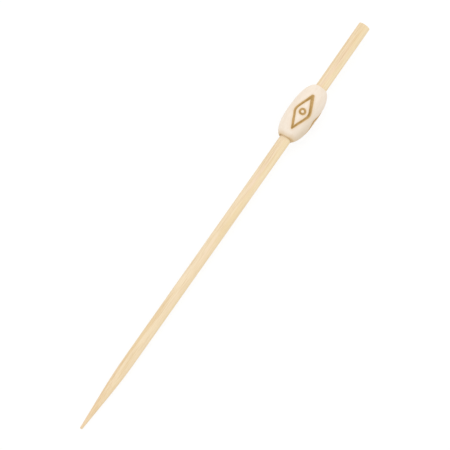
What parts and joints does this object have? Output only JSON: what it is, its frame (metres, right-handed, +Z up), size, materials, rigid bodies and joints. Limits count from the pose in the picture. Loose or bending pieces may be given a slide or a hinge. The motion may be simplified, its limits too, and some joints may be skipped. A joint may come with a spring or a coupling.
{
  "type": "snack pick",
  "caption": "Slender bamboo snack pick, sharpened at one end, with a long oval wooden bead near its sawn end, carved with ringed lozenges.",
  "frame": {"origin": "on the table, under the middle of the pick's bounding box, as the pick lies on its side", "axes": "+X along the pick from the point towards the sawn end, +Y across it, +Z up from the table. The stick itself rises 1.7 degrees towards +X, because it lies on the bead's belly and on the shoulder behind its point"},
  "size_m": [0.12, 0.0072, 0.0073],
  "materials": {
    "bamboo": "plain sanded bamboo with fine lengthwise fibres, no coating",
    "bead_wood": "pale close-grained wood, smooth and matt, with golden brown stain in the carved lines"
  },
  "bodies": {
    "root": {"bamboo_stick": "bamboo", "carved_bead": "bead_wood"}
  },
  "joints": []
}
